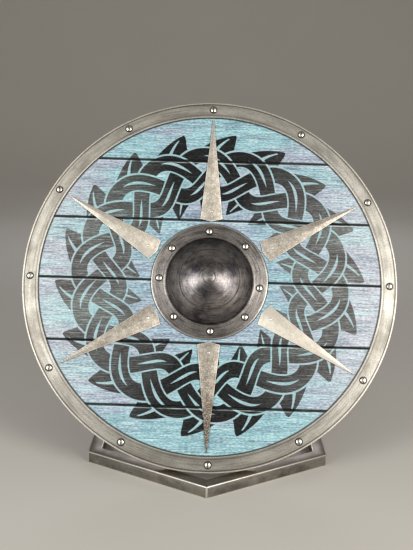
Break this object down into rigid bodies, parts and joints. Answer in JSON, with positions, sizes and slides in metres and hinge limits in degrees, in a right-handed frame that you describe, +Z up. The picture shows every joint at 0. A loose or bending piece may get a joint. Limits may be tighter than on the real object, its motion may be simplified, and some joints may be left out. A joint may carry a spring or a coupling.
{
  "type": "round shield",
  "caption": "Round painted plank shield with a steel rim, a domed boss and tapered steel spikes, leaning on a hexagonal bar stand.",
  "frame": {"origin": "on the floor at the centre of the stand's hexagon, below the shield", "axes": "+Z up, -Y towards the viewer, out of the front of the shield, +X to the viewer's right across the shield"},
  "size_m": [0.61, 0.456, 0.5801],
  "materials": {
    "painted_boards": "pale blue, teal and lilac paint rubbed into open grain, half-gloss varnish, with a dark painted band",
    "bare_wood": "plain oiled hardwood",
    "rim_steel": "satin, brushed round the rim",
    "boss_steel": "spun, dark gunmetal",
    "spike_steel": "satin, warm and slightly mottled",
    "screw_steel": "bright",
    "stand_steel": "dark, ground, with bright arrises"
  },
  "bodies": {
    "root": {"plank_1": "painted_boards", "plank_2": "painted_boards", "plank_3": "painted_boards", "plank_4": "painted_boards", "plank_5": "painted_boards", "plank_6": "painted_boards", "rim": "rim_steel", "boss": "boss_steel", "spike_1": "spike_steel", "spike_2": "spike_steel", "spike_3": "spike_steel", "spike_4": "spike_steel", "spike_5": "spike_steel", "spike_6": "spike_steel", "spike_nail_1": "screw_steel", "spike_nail_2": "screw_steel", "spike_nail_3": "screw_steel", "spike_nail_4": "screw_steel", "spike_nail_5": "screw_steel", "spike_nail_6": "screw_steel", "rim_screw_1": "screw_steel", "rim_screw_2": "screw_steel", "rim_screw_3": "screw_steel", "rim_screw_4": "screw_steel", "rim_screw_5": "screw_steel", "rim_screw_6": "screw_steel", "rim_screw_7": "screw_steel", "rim_screw_8": "screw_steel", "rim_screw_9": "screw_steel", "rim_screw_10": "screw_steel", "rim_screw_11": "screw_steel", "rim_screw_12": "screw_steel", "boss_screw_1": "screw_steel", "boss_screw_2": "screw_steel", "boss_screw_3": "screw_steel", "boss_screw_4": "screw_steel", "boss_screw_5": "screw_steel", "boss_screw_6": "screw_steel", "boss_screw_7": "screw_steel", "boss_screw_8": "screw_steel", "grip_screw_1": "screw_steel", "grip_screw_2": "screw_steel", "grip_screw_3": "screw_steel", "grip_screw_4": "screw_steel", "grip_screw_5": "screw_steel", "grip_screw_6": "screw_steel", "grip_batten": "bare_wood", "stand": "stand_steel"}
  },
  "joints": []
}
